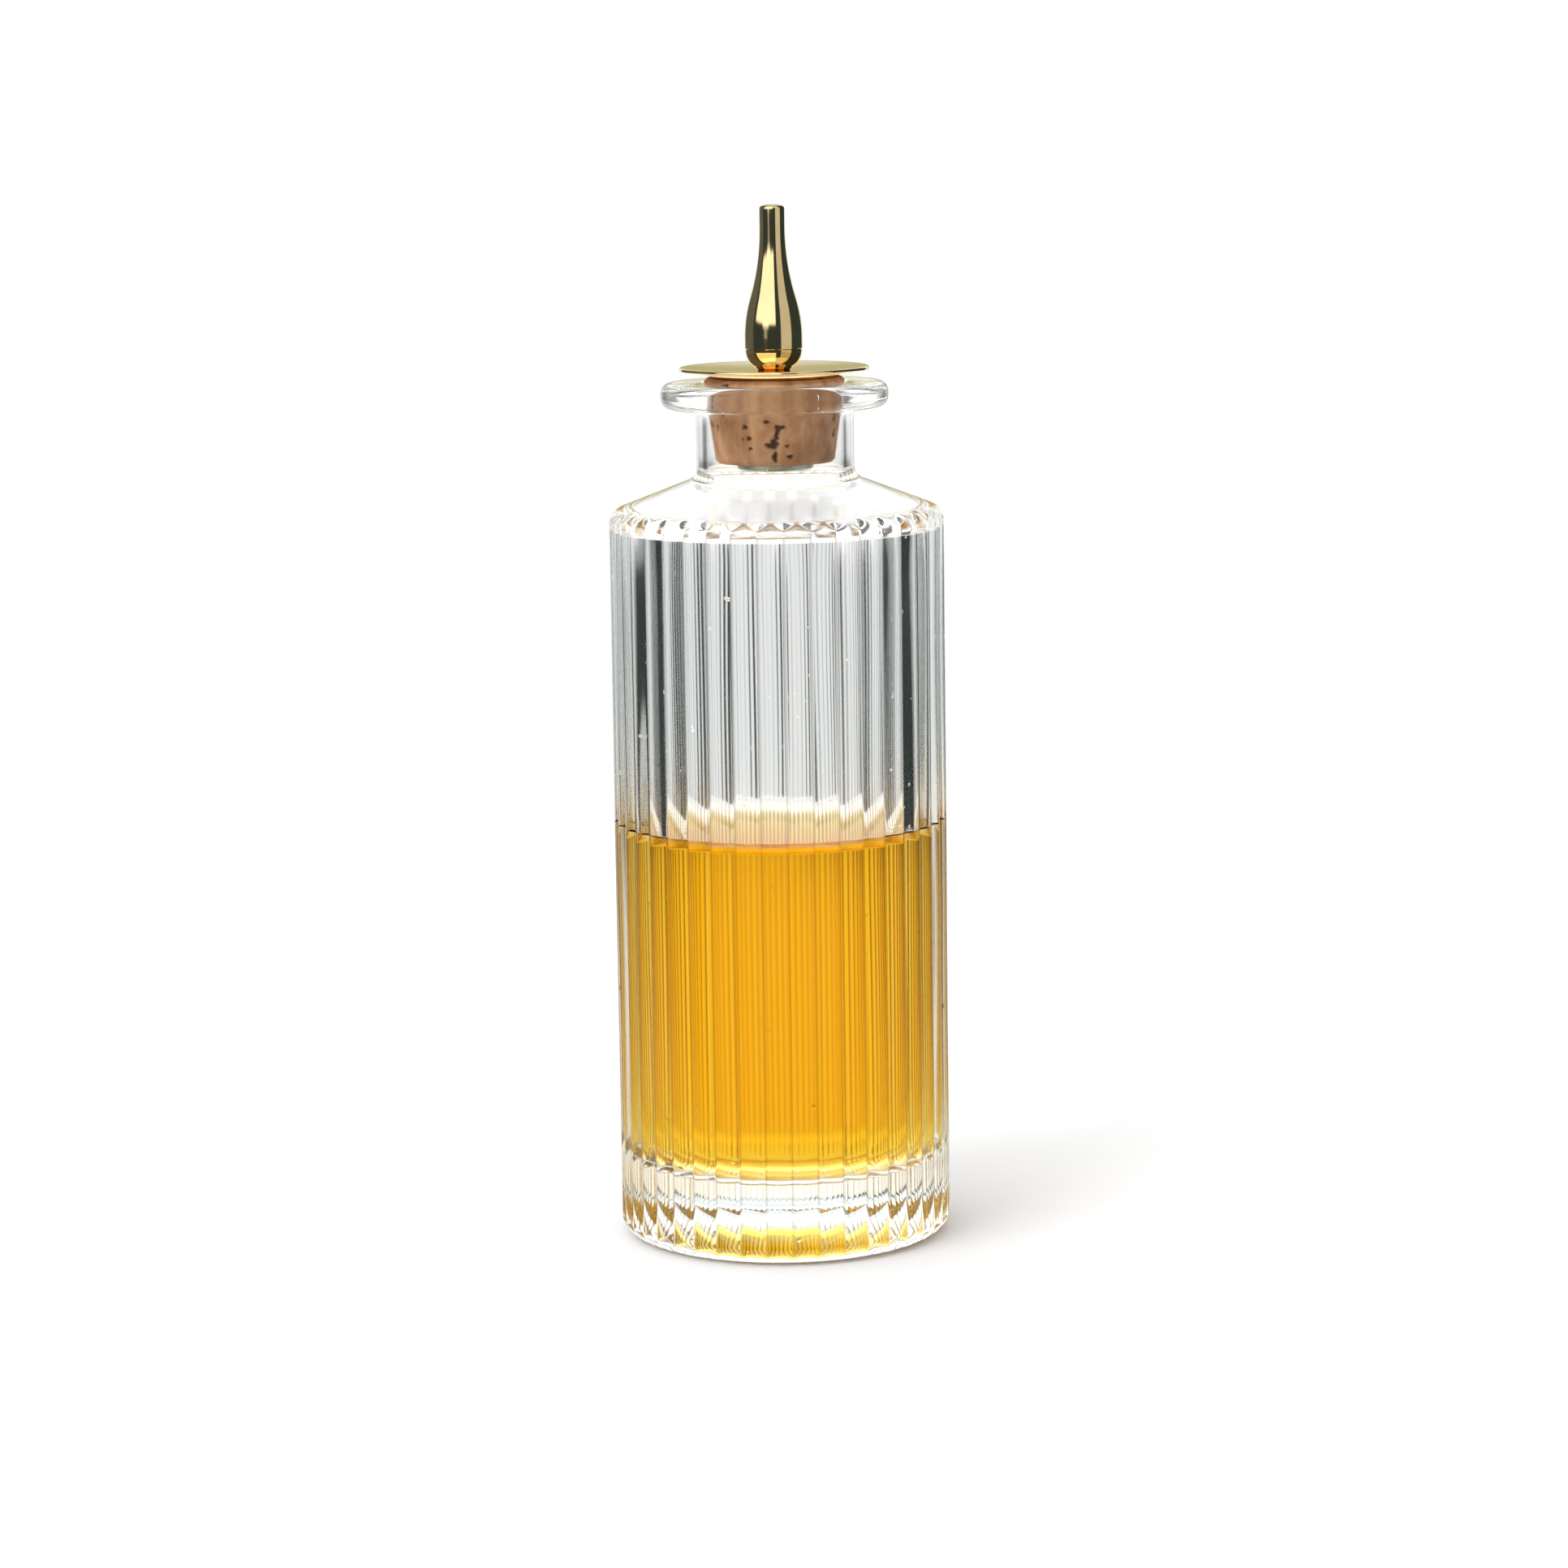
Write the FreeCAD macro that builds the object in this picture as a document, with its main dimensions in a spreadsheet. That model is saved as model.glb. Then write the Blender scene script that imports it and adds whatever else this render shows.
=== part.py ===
import FreeCAD, Part
import math
import os
import re

import Sketcher

# A bitters bottle: ribbed glass bottle, its liquid, and a cork stopper that carries a brass dasher top.
# The bottle stands on its foot at the origin, with its axis along +Z. Lengths are in millimetres.

SIZES = {
    # Glass bottle, outside
    "body_radius": 22.0,
    "rib_count": 40,
    "rib_radius": 2.8,
    "rib_depth": 0.85,
    "rib_foot": 0.4,
    "heel_radius": 2.5,
    "foot_rounding": 1.9,
    "shoulder_level": 96.3,
    "shoulder_rise": 4.5,
    "edge_radius": 2.2,
    "neck_height": 9.0,
    "neck_wall": 1.3,
    "neck_fillet": 2.0,
    "lip_height": 3.3,
    "lip_flat": 0.5,
    "lip_overhang": 4.55,
    "lip_fillet": 0.8,
    # Glass bottle, inside and underneath
    "side_wall": 3.0,
    "floor_thickness": 9.8,
    "floor_rounding": 4.0,
    "shoulder_wall": 3.6,
    "inner_edge_rounding": 3.0,
    "throat_rounding": 1.5,
    "seat_depth": 1.8,
    "mouth_rounding": 0.5,
    "foot_ring": 2.75,
    "punt_depth": 3.2,
    # Liquid
    "fill_height": 43.8,
    # Cork
    "cork_top_radius": 9.3,
    "cork_taper": 1.5,
    "cork_length": 11.0,
    "cork_proud": 0.6,
    "cork_chamfer": 0.4,
    # Cap plate
    "boss_radius": 8.7,
    "boss_height": 0.8,
    "plate_overhang": 3.7,
    "plate_edge": 0.55,
    "plate_dish": 0.4,
    # Collar and nozzle
    "collar_height": 2.7,
    "collar_foot_wall": 0.3,
    "seam_step": 0.06,
    "seam_chamfer": 0.1,
    "bulb_wall": 2.03,
    "bulb_band": 1.4,
    "nozzle_height": 18.6,
    "tip_radius": 1.65,
    "tip_wall": 0.8,
    "tip_length": 3.0,
    "tip_rounding": 0.25,
    "orifice_chamfer": 0.2,
    "flare_bend_share": 0.37,
    # Stem tube and washer
    "stem_radius": 1.75,
    "stem_wall": 0.75,
    "socket_depth": 3.0,
    "stem_flare": 0.6,
    "washer_width": 3.25,
    "washer_thickness": 0.9,
    "washer_chamfer": 0.2,
    # Clearances
    "cork_fit": 0.04,
    "liquid_gap": 0.05,
    "running_fit": 0.05,
    "joint_fit": 0.02,
    "end_play": 0.05,
    # How far trimming and cutting profiles pass the faces that they cut
    "trim_allowance": 0.1,
    "overrun": 1.0,
}

DERIVED = {
    # Levels from the foot upwards
    "neck_foot": "shoulder_level + shoulder_rise",
    "lip_bottom": "neck_foot + neck_height",
    "lip_top": "lip_bottom + lip_height",
    "cork_top": "lip_top + cork_proud",
    "cork_bottom": "cork_top - cork_length",
    "boss_bottom": "cork_top + end_play",
    "rim_bottom": "boss_bottom + boss_height",
    "rim_top": "rim_bottom + plate_edge",
    "plate_floor": "rim_top - plate_dish",
    "seam": "plate_floor + collar_height",
    "stem_top": "seam + socket_depth",
    "tip_top": "seam + nozzle_height",
    "washer_top": "cork_bottom - end_play",
    "washer_bottom": "washer_top - washer_thickness",
    # The cork's cone sets the mouth, and the mouth sets the neck and lip
    "cork_tip_radius": "cork_top_radius - cork_taper",
    "cork_slope": "cork_taper / cork_length",
    "seat_radius": "cork_top_radius - cork_slope * cork_proud + cork_fit",
    "neck_bore": "seat_radius - cork_slope * seat_depth",
    "neck_radius": "neck_bore + neck_wall",
    "lip_radius": "neck_radius + lip_overhang",
    "lip_rounding": "(lip_height - lip_flat) / 2",
    "mouth_radius": "seat_radius - cork_slope * mouth_rounding",
    # Ribs and the round core behind them
    "core_radius": "body_radius - rib_depth",
    "core_edge": "edge_radius - rib_depth",
    "heel_trim": "heel_radius + trim_allowance",
    "edge_trim": "edge_radius + trim_allowance",
    "trim_radius": "body_radius + trim_allowance",
    # Shoulder slope: rise and sloping length for a run of one, and the length that a rounding takes
    # from each side of a corner between slope and wall, for a radius of one
    "slope_share": "shoulder_rise / (body_radius - neck_radius)",
    "sloping_share": "sqrt(1 + slope_share^2)",
    "corner_share": "sloping_share - slope_share",
    "run_share": "corner_share / sloping_share",
    "rise_share": "run_share * slope_share",
    "rib_top": "shoulder_level + rib_depth * slope_share",
    # Inside of the bottle
    "inner_radius": "body_radius - side_wall",
    "inner_shoulder": "shoulder_level + side_wall * slope_share - shoulder_wall",
    "inner_neck": "shoulder_level + (body_radius - neck_bore) * slope_share - shoulder_wall",
    "punt_radius": "core_radius - foot_rounding - foot_ring",
    "punt_curve": "(punt_radius^2 + punt_depth^2) / (2 * punt_depth)",
    # Liquid
    "liquid_radius": "inner_radius - liquid_gap",
    "liquid_bottom": "floor_thickness + liquid_gap",
    "liquid_level": "floor_thickness + fill_height",
    "liquid_rounding": "floor_rounding - liquid_gap",
    # Brass top
    "plate_radius": "boss_radius + plate_overhang",
    "stem_hole": "stem_radius + joint_fit",
    "cork_hole": "stem_radius + running_fit",
    "stem_bore": "stem_radius - stem_wall",
    "collar_foot": "stem_hole + collar_foot_wall",
    "bulb_radius": "stem_radius + bulb_wall",
    "collar_radius": "bulb_radius - seam_step",
    "collar_rise": "collar_height - seam_chamfer",
    "collar_spread": "collar_radius - collar_foot",
    "collar_curve": "(collar_spread^2 + collar_rise^2) / (2 * collar_spread)",
    "dish_reach": "(plate_radius^2 - collar_foot^2 + plate_dish^2) / (2 * plate_dish)",
    "dish_curve": "sqrt(collar_foot^2 + dish_reach^2)",
    # The spout narrows from bulb to tip along two arcs that meet without a corner
    "bulb_top": "seam + bulb_band",
    "tip_start": "tip_top - tip_length",
    "flare_height": "tip_start - bulb_top",
    "flare_gain": "bulb_radius - tip_radius",
    "flare_curve": "(flare_height^2 + flare_gain^2) / (2 * flare_gain)",
    "bend_radius": "bulb_radius - flare_gain * flare_bend_share",
    "bend_level": "bulb_top + flare_height * flare_bend_share",
    "orifice": "tip_radius - tip_wall",
    # Washer
    "washer_radius": "stem_radius + washer_width",
    "flare_radius": "stem_radius + stem_flare",
    "flare_seat": "stem_hole + stem_flare",
}

# How a sketch counts its own axes, and the ends and centre of a line, arc or circle
FLAT_AXIS_INDEX = -1
UPRIGHT_AXIS_INDEX = -2
START_INDEX = 1
END_INDEX = 2
CENTRE_INDEX = 3

# Where an arc's centre lies, looking along the outline
LEFT = "left"
RIGHT = "right"

FULL_TURN = 360


def bound(formula):
    """The formula with each size and derived length named in its own object."""

    def owner(match):
        word = match[0]
        if word in SIZES:
            return f"Sizes.{word}"
        return f"Derived.{word}" if word in DERIVED else word

    return re.sub(r"[a-z_]+", owner, formula)


def number(formula):
    """The formula's value at the present sizes."""
    return float(sheet.evalExpression(bound(formula)))


def write_sizes():
    """The sheet of driving sizes, one row each, with its name as alias."""
    for row, (name, value) in enumerate(SIZES.items(), start=1):
        sheet.set(f"A{row}", name)
        sheet.set(f"B{row}", str(value))
        sheet.setAlias(f"B{row}", name)
    doc.recompute()


def write_derived():
    """The lengths that follow from the driving sizes."""
    for name in DERIVED:
        derived.addProperty("App::PropertyFloat", name)
    for name, formula in DERIVED.items():
        derived.setExpression(name, bound(formula))
    doc.recompute()


def origin_feature(body, role):
    """One of the body's own origin planes or axes."""
    return next(item for item in body.Origin.OriginFeatures if item.Role == role)


def new_body(label):
    body = doc.addObject("PartDesign::Body", label)
    body.Label = label
    return body


def new_sketch(body, name, role):
    sketch = body.newObject("Sketcher::SketchObject", name)
    sketch.AttachmentSupport = [(origin_feature(body, role), "")]
    sketch.MapMode = "FlatFace"
    return sketch


def place(sketch, item, vertex, radius, height):
    """Ties one end of a line or arc to its distance from the axis and its level."""
    origin = (FLAT_AXIS_INDEX, START_INDEX)
    ways = (("DistanceX", UPRIGHT_AXIS_INDEX, radius), ("DistanceY", FLAT_AXIS_INDEX, height))
    for kind, axis, formula in ways:
        if formula == "0":
            sketch.addConstraint(Sketcher.Constraint("PointOnObject", item, vertex, axis))
            continue
        rule = Sketcher.Constraint(kind, *origin, item, vertex, number(formula))
        index = sketch.addConstraint(rule)
        sketch.setExpression(f"Constraints[{index}]", bound(formula))


def arc_between(first, last, radius, side):
    """The arc of that radius from first to last, whose centre lies to one side of the run."""
    run = last - first
    middle = (first + last) / 2
    reach = math.sqrt(radius**2 - (run.Length / 2) ** 2)
    leftwards = FreeCAD.Vector(-run.y, run.x, 0).normalize() * reach
    centre = middle + leftwards if side == LEFT else middle - leftwards
    circle = Part.Circle(centre, FreeCAD.Vector(0, 0, 1), radius)
    ends = (first, last) if side == LEFT else (last, first)
    return Part.ArcOfCircle(circle, circle.parameter(ends[0]), circle.parameter(ends[1]))


def add_outline(sketch, corners):
    """A closed outline through corners of (radius, level), each with the arc that follows it, if any.

    Radius and level are formulas, and an arc is its radius, a formula, and the side of its centre.
    """
    spots = [FreeCAD.Vector(number(corner[0]), number(corner[1]), 0) for corner in corners]
    ends = []
    for index, corner in enumerate(corners):
        first = spots[index]
        last = spots[(index + 1) % len(spots)]
        if len(corner) == 2:
            item = sketch.addGeometry(Part.LineSegment(first, last))
            ends.append((item, START_INDEX, END_INDEX))
            continue
        radius, side = corner[2]
        item = sketch.addGeometry(arc_between(first, last, number(radius), side))
        forward = side == LEFT
        ends.append((item, START_INDEX, END_INDEX) if forward else (item, END_INDEX, START_INDEX))
        rule = sketch.addConstraint(Sketcher.Constraint("Radius", item, number(radius)))
        sketch.setExpression(f"Constraints[{rule}]", bound(radius))
    for index, corner in enumerate(corners):
        item, begin, _ = ends[index]
        before, _, finish = ends[index - 1]
        sketch.addConstraint(Sketcher.Constraint("Coincident", before, finish, item, begin))
        place(sketch, item, begin, corner[0], corner[1])


def turn(body, kind, name, *outlines):
    """A full turn of closed outlines about the body's axis, added to the body or cut from it."""
    sketch = new_sketch(body, f"{name}_outline", "XZ_Plane")
    for corners in outlines:
        add_outline(sketch, corners)
    feature = body.newObject(kind, name)
    feature.Profile = sketch
    feature.ReferenceAxis = (sketch, ["V_Axis"])
    feature.Angle = FULL_TURN
    doc.recompute()
    return feature


def add_turned(body, name, *outlines):
    return turn(body, "PartDesign::Revolution", name, *outlines)


def cut_turned(body, name, *outlines):
    feature = turn(body, "PartDesign::Groove", name, *outlines)
    if not feature.Shape.Volume < feature.BaseFeature.Shape.Volume:
        raise RuntimeError(f"{name} takes nothing off")
    return feature


def add_ribs(body):
    """A ring of upright ribs, the first one in front, rounded in at heel and shoulder."""
    sketch = new_sketch(body, "rib_outline", "XY_Plane")
    sketch.setExpression("AttachmentOffset.Base.z", bound("rib_foot"))
    centre = FreeCAD.Vector(0, number("rib_radius - body_radius"), 0)
    circle = Part.Circle(centre, FreeCAD.Vector(0, 0, 1), number("rib_radius"))
    item = sketch.addGeometry(circle)
    rule = sketch.addConstraint(Sketcher.Constraint("Radius", item, number("rib_radius")))
    sketch.setExpression(f"Constraints[{rule}]", bound("rib_radius"))
    place(sketch, item, CENTRE_INDEX, "0", "rib_radius - body_radius")

    rib = body.newObject("PartDesign::Pad", "rib")
    rib.Profile = sketch
    rib.setExpression("Length", bound("rib_top - rib_foot"))
    doc.recompute()

    ring = body.newObject("PartDesign::PolarPattern", "rib_ring")
    ring.Originals = [rib]
    ring.Axis = (origin_feature(body, "Z_Axis"), [""])
    ring.Angle = FULL_TURN
    ring.setExpression("Occurrences", bound("rib_count"))
    body.Tip = ring
    doc.recompute()

    heel = [
        ("body_radius - heel_radius", "rib_foot", ("heel_trim", LEFT)),
        ("trim_radius", "rib_foot + heel_trim"),
        ("trim_radius", "rib_foot - overrun"),
        ("body_radius - heel_radius", "rib_foot - overrun"),
    ]
    edge = [
        ("trim_radius", "rib_top - edge_trim", ("edge_trim", LEFT)),
        ("body_radius - edge_radius", "rib_top"),
        ("body_radius - edge_radius", "rib_top + overrun"),
        ("trim_radius", "rib_top + overrun"),
    ]
    cut_turned(body, "rib_ends", heel, edge)


def glass_bottle():
    body = new_body("glass_bottle")
    add_ribs(body)

    # Round core, shoulder, neck and lip
    add_turned(
        body,
        "core",
        [
            ("0", "0"),
            ("core_radius - foot_rounding", "0", ("foot_rounding", LEFT)),
            ("core_radius", "foot_rounding"),
            ("core_radius", "rib_top - core_edge * corner_share", ("core_edge", LEFT)),
            ("core_radius - core_edge * run_share", "rib_top + core_edge * rise_share"),
            (
                "neck_radius + neck_fillet * run_share",
                "neck_foot - neck_fillet * rise_share",
                ("neck_fillet", RIGHT),
            ),
            ("neck_radius", "neck_foot + neck_fillet * corner_share"),
            ("neck_radius", "lip_bottom - lip_fillet", ("lip_fillet", RIGHT)),
            ("neck_radius + lip_fillet", "lip_bottom"),
            ("lip_radius - lip_rounding", "lip_bottom", ("lip_rounding", LEFT)),
            ("lip_radius", "lip_bottom + lip_rounding"),
            ("lip_radius", "lip_top - lip_rounding", ("lip_rounding", LEFT)),
            ("lip_radius - lip_rounding", "lip_top"),
            ("0", "lip_top"),
        ],
    )

    # Inside, from the thick floor up to the tapered mouth that the cork sits in
    cut_turned(
        body,
        "cavity",
        [
            ("0", "floor_thickness"),
            ("inner_radius - floor_rounding", "floor_thickness", ("floor_rounding", LEFT)),
            ("inner_radius", "floor_thickness + floor_rounding"),
            (
                "inner_radius",
                "inner_shoulder - inner_edge_rounding * corner_share",
                ("inner_edge_rounding", LEFT),
            ),
            (
                "inner_radius - inner_edge_rounding * run_share",
                "inner_shoulder + inner_edge_rounding * rise_share",
            ),
            (
                "neck_bore + throat_rounding * run_share",
                "inner_neck - throat_rounding * rise_share",
                ("throat_rounding", RIGHT),
            ),
            ("neck_bore", "inner_neck + throat_rounding * corner_share"),
            ("neck_bore", "lip_top - seat_depth"),
            ("mouth_radius", "lip_top - mouth_rounding", ("mouth_rounding", RIGHT)),
            ("mouth_radius + mouth_rounding", "lip_top"),
            ("mouth_radius + mouth_rounding", "lip_top + overrun"),
            ("0", "lip_top + overrun"),
        ],
    )

    # Shallow hollow under the base, which leaves a ring to stand on
    cut_turned(
        body,
        "punt",
        [
            ("0", "0 - overrun"),
            ("punt_radius", "0 - overrun"),
            ("punt_radius", "0", ("punt_curve", LEFT)),
            ("0", "punt_depth"),
        ],
    )
    return body


def bitters_liquid():
    body = new_body("bitters_liquid")
    add_turned(
        body,
        "fill",
        [
            ("0", "liquid_bottom"),
            ("liquid_radius - liquid_rounding", "liquid_bottom", ("liquid_rounding", LEFT)),
            ("liquid_radius", "liquid_bottom + liquid_rounding"),
            ("liquid_radius", "liquid_level"),
            ("0", "liquid_level"),
        ],
    )
    return body


def cork_stopper():
    body = new_body("cork_stopper")
    add_turned(
        body,
        "cork",
        [
            ("cork_hole", "cork_bottom"),
            ("cork_tip_radius - cork_chamfer", "cork_bottom"),
            ("cork_tip_radius + cork_slope * cork_chamfer", "cork_bottom + cork_chamfer"),
            ("cork_top_radius - cork_slope * cork_chamfer", "cork_top - cork_chamfer"),
            ("cork_top_radius - cork_chamfer", "cork_top"),
            ("cork_hole", "cork_top"),
        ],
    )
    return body


def cap_plate():
    body = new_body("cap_plate")
    add_turned(
        body,
        "plate",
        [
            ("stem_hole", "boss_bottom"),
            ("boss_radius", "boss_bottom"),
            ("boss_radius", "rim_bottom"),
            ("plate_radius", "rim_bottom"),
            ("plate_radius", "rim_top", ("dish_curve", RIGHT)),
            ("collar_foot", "plate_floor"),
            ("stem_hole", "plate_floor"),
        ],
    )
    return body


def nozzle_collar():
    body = new_body("nozzle_collar")
    add_turned(
        body,
        "collar",
        [
            ("stem_hole", "plate_floor"),
            ("collar_foot", "plate_floor", ("collar_curve", LEFT)),
            ("collar_radius", "seam - seam_chamfer"),
            ("collar_radius - seam_chamfer", "seam"),
            ("stem_hole", "seam"),
        ],
    )
    return body


def dash_nozzle():
    body = new_body("dash_nozzle")
    add_turned(
        body,
        "spout",
        [
            ("stem_hole", "seam"),
            ("bulb_radius - seam_chamfer", "seam"),
            ("bulb_radius", "seam + seam_chamfer"),
            ("bulb_radius", "bulb_top", ("flare_curve * flare_bend_share", LEFT)),
            ("bend_radius", "bend_level", ("flare_curve * (1 - flare_bend_share)", RIGHT)),
            ("tip_radius", "tip_start"),
            ("tip_radius", "tip_top - tip_rounding", ("tip_rounding", LEFT)),
            ("tip_radius - tip_rounding", "tip_top"),
            ("orifice + orifice_chamfer", "tip_top"),
            ("orifice", "tip_top - orifice_chamfer"),
            ("orifice", "stem_top + joint_fit"),
            ("stem_hole", "stem_top + joint_fit"),
        ],
    )
    return body


def stem_tube():
    body = new_body("stem_tube")
    add_turned(
        body,
        "tube",
        [
            ("stem_bore", "washer_bottom"),
            ("flare_radius", "washer_bottom"),
            ("stem_radius", "washer_bottom + stem_flare"),
            ("stem_radius", "stem_top"),
            ("stem_bore", "stem_top"),
        ],
    )
    return body


def retaining_washer():
    body = new_body("retaining_washer")
    add_turned(
        body,
        "washer",
        [
            ("flare_seat", "washer_bottom"),
            ("washer_radius - washer_chamfer", "washer_bottom"),
            ("washer_radius", "washer_bottom + washer_chamfer"),
            ("washer_radius", "washer_top - washer_chamfer"),
            ("washer_radius - washer_chamfer", "washer_top"),
            ("stem_hole", "washer_top"),
            ("stem_hole", "washer_bottom + stem_flare"),
        ],
    )
    return body


def check(bodies):
    """Every object is sound, and every sub-part is one valid solid."""
    for item in doc.Objects:
        if "Invalid" in item.State or "Error" in item.State:
            raise RuntimeError(f"{item.Label} is {item.State}")
    for body in bodies:
        shape = body.Shape
        if shape.isNull() or not shape.isValid() or len(shape.Solids) != 1:
            raise RuntimeError(f"{body.Label} is not one valid solid")


doc = FreeCAD.newDocument("bitters_bottle")
sheet = doc.addObject("Spreadsheet::Sheet", "Sizes")
derived = doc.addObject("App::VarSet", "Derived")
write_sizes()
write_derived()

subparts = [
    glass_bottle(),
    bitters_liquid(),
    cork_stopper(),
    cap_plate(),
    nozzle_collar(),
    dash_nozzle(),
    stem_tube(),
    retaining_washer(),
]
doc.recompute()
check(subparts)

os.makedirs("parts", exist_ok=True)
for subpart in subparts:
    subpart.Shape.exportStep(f"parts/{subpart.Label}.step")
    box = subpart.Shape.BoundBox
    print(f"{subpart.Label}: {box.ZMin:.2f} to {box.ZMax:.2f} mm high, {subpart.Shape.Volume:.1f} mm3")
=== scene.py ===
import functools
import math
import random

import bpy
from mathutils import Euler, Matrix, Vector

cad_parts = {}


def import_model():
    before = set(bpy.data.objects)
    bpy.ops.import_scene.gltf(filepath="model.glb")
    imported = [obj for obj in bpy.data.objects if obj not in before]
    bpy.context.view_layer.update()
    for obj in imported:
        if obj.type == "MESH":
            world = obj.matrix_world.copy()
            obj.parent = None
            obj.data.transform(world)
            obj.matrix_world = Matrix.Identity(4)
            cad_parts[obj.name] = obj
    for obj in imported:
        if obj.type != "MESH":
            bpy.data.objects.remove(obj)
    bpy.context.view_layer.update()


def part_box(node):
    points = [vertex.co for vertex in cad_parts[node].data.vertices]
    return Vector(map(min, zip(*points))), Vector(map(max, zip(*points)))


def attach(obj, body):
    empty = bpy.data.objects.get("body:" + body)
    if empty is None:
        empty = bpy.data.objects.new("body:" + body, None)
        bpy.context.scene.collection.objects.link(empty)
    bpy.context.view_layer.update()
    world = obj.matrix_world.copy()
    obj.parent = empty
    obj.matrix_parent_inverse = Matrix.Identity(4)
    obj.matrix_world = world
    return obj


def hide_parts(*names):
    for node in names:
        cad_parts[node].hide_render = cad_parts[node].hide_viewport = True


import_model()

# All lengths below are in millimetres, and meshes are scaled to metres as they are made.
MM = 0.001
TAU = 2 * math.pi

# Small turn, in radians, over which the slope of a surface is measured
NUDGE = 0.0002


def box_mm(node):
    """Outer radius, lowest and highest level of a CAD node."""
    low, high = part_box(node)
    return max(high[0], high[1]) / MM, low[2] / MM, high[2] / MM


BODY_RADIUS, FOOT, LIP_TOP = box_mm("glass_bottle")
_, _, LIQUID_LEVEL = box_mm("bitters_liquid")
CORK_RADIUS, CORK_BOTTOM, CORK_TOP = box_mm("cork_stopper")
PLATE_RADIUS, BOSS_BOTTOM, RIM_TOP = box_mm("cap_plate")
COLLAR_RADIUS, PLATE_FLOOR, SEAM = box_mm("nozzle_collar")
BULB_RADIUS, _, TIP_TOP = box_mm("dash_nozzle")
_, STEM_BOTTOM, STEM_TOP = box_mm("stem_tube")
WASHER_RADIUS, WASHER_BOTTOM, WASHER_TOP = box_mm("retaining_washer")

# Ribs of the glass: the first crest faces the front, and the step shares are closer in the groove.
# Over its first points the shoulder's edge still has full ribs.
RIB_COUNT = 40
RIB_RADIUS = 2.8
RIB_CENTRE = BODY_RADIUS - RIB_RADIUS
RIB_PITCH = TAU / RIB_COUNT
RIB_PHASE = -TAU / 4
RIB_STEP_SHARES = (
    0, 0.1, 0.2, 0.3, 0.36, 0.41, 0.44, 0.47, 0.5, 0.53, 0.56, 0.59, 0.64, 0.7, 0.8, 0.9
)
RIB_EDGE_POINTS = 3
GROOVE_ROUNDING = 0.3
# Where the groove lies among a rib's step shares, and how far to each side of it, as a share of a
# rib, the painted shade reaches
GROOVE_SHARE = 0.5
GROOVE_SHADE_SHARE = 0.06

# Section of the glass
HEEL = 2.3
FOOT_RING_INNER = 16.5
PUNT_DEPTH = 3.2
SIDE_WALL = 3.0
INNER_RADIUS = BODY_RADIUS - SIDE_WALL
FLOOR_LEVEL = 9.8
FLOOR_ROUNDING = 4.0
SHOULDER_LEVEL = 96.3
SHOULDER_RISE = 4.5
SHOULDER_WALL = 2.6
EDGE_ROUNDING = 2.2
INNER_EDGE_ROUNDING = 1.5
NECK_RADIUS = 10.31
NECK_BORE = 9.01
NECK_FILLET = 2.0
THROAT_ROUNDING = 1.5
LIP_BOTTOM = 109.8
LIP_RADIUS = 14.86
LIP_ROUNDING = 1.35
LIP_FILLET = 0.8
SEAT_DEPTH = 1.8
SEAT_RADIUS = 9.26
MOUTH_ROUNDING = 0.5

# Waviness of the pressed glass: (share of the height, waves round the bottle, twist, phase), where
# the twist is the rise over which a wave turns by one radian. The inside has the same waves, moved.
WAVE_HEIGHT = 0.04
WAVES = ((1, 7, 14, 0), (0.8, 11, -11, 1.3), (0.7, 17, 21, 4.1), (0.6, 4, -8, 2.2))
OUTER_WAVE_SHARE = 0.35
INNER_WAVE_TURN = 0.5
INNER_WAVE_LIFT = 20

# How far the liquid reaches into the wall that it wets, and how it climbs there
LIQUID_SEGMENTS = 240
LIQUID_SHARP_ANGLE = 60
LIQUID_OVERLAP = 0.14
MENISCUS_HEIGHT = 1.7
MENISCUS_WIDTH = 2.6
MENISCUS_POWER = 2.6
MENISCUS_STEPS = 12

# Cork
CORK_SEGMENTS = 300
CORK_SHARP_ANGLE = 50
CORK_TAPER = 1.5
CORK_HOLE = 1.8
CORK_CHAMFER = 0.4

# Outline of a pit: (share of its size, lobes, turn per millimetre of level). Its slope and its dark
# shade each begin and end at shares of its size.
PIT_LOBES = ((0.16, 3, 9), (0.1, 5, 4))
PIT_SLOPE_SHARES = (0.4, 1.1)
PIT_SHADE_SHARES = (0.7, 1.2)

# Small pits strewn over the sides and back, the same ones in each run
STREWN_SEED = 11
STREWN_COUNT = 46
STREWN_ANGLES = (40, 320)
STREWN_MARGIN = 0.6
STREWN_WIDTHS = (0.15, 0.4)
STREWN_HEIGHT_SHARES = (0.6, 1.8)

# Pits at the front: (angle from the front in degrees, level, half width, half height, depth)
FRONT_PITS = (
    (4.8, 107.6, 0.42, 0.6, 0.5),
    (8.6, 107.8, 0.3, 0.25, 0.35),
    (3.2, 106.6, 0.28, 0.6, 0.5),
    (1.4, 105.6, 0.5, 0.75, 0.6),
    (-3, 105.4, 0.6, 0.35, 0.45),
    (1.6, 103.9, 0.34, 0.75, 0.45),
    (-5.2, 108.5, 0.4, 0.25, 0.35),
    (-24.3, 107.8, 0.35, 0.3, 0.4),
    (-21.3, 106.3, 0.32, 0.32, 0.4),
    (-27, 106.2, 0.18, 0.18, 0.25),
    (-20.6, 105.0, 0.26, 0.22, 0.3),
    (12.7, 105.3, 0.28, 0.22, 0.3),
    (15.6, 103.9, 0.42, 0.27, 0.4),
    (-55, 107.6, 0.22, 0.45, 0.3),
    (28, 112.1, 0.45, 0.22, 0.35),
    (-29, 112.1, 0.22, 0.2, 0.25),
)

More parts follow.
